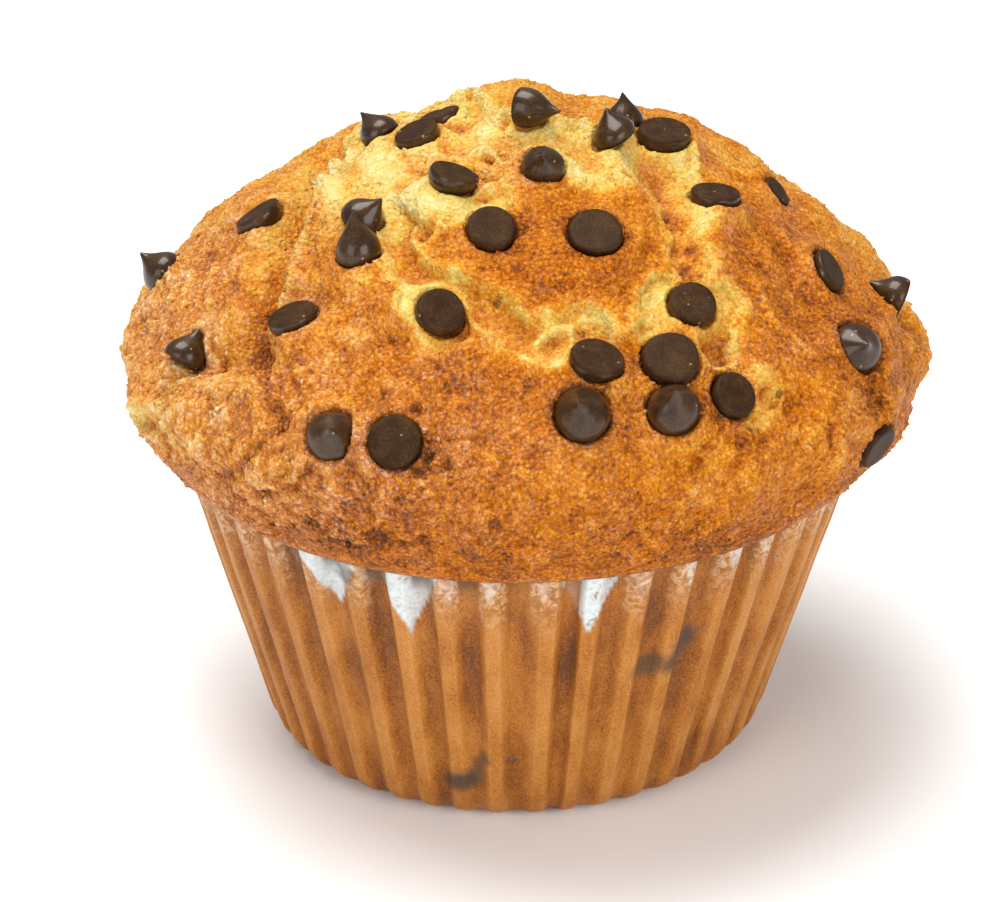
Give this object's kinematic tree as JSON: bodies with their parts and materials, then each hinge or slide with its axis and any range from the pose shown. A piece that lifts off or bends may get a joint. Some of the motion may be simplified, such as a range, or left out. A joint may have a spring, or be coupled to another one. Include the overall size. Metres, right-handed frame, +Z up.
{
  "type": "muffin",
  "caption": "Large domed chocolate chip muffin in a fluted paper case, its cracked golden crust risen well over the rim.",
  "frame": {"origin": "centre of the flat underside of the paper case, where the muffin stands", "axes": "+Z up out of the case to the crown, -Y the side that carries most of the chips, +X to the right seen from that side"},
  "size_m": [0.091, 0.0926, 0.0796],
  "materials": {
    "crust": "matte",
    "case_paper": "satin",
    "chocolate": "satin"
  },
  "bodies": {
    "root": {"muffin": "crust", "paper_case": "case_paper", "chip_01": "chocolate", "chip_02": "chocolate", "chip_03": "chocolate", "chip_04": "chocolate", "chip_05": "chocolate", "chip_06": "chocolate", "chip_07": "chocolate", "chip_08": "chocolate", "chip_09": "chocolate", "chip_10": "chocolate", "chip_11": "chocolate", "chip_12": "chocolate", "chip_13": "chocolate", "chip_14": "chocolate", "chip_15": "chocolate", "chip_16": "chocolate", "chip_17": "chocolate", "chip_18": "chocolate", "chip_19": "chocolate", "chip_20": "chocolate", "chip_21": "chocolate", "chip_22": "chocolate", "chip_23": "chocolate", "chip_24": "chocolate", "chip_25": "chocolate", "chip_26": "chocolate", "chip_27": "chocolate", "chip_28": "chocolate", "chip_29": "chocolate", "chip_30": "chocolate", "chip_31": "chocolate", "chip_32": "chocolate", "chip_33": "chocolate", "chip_34": "chocolate", "chip_35": "chocolate", "chip_36": "chocolate", "chip_37": "chocolate", "chip_38": "chocolate", "chip_39": "chocolate", "chip_40": "chocolate", "chip_41": "chocolate", "chip_42": "chocolate"}
  },
  "joints": []
}
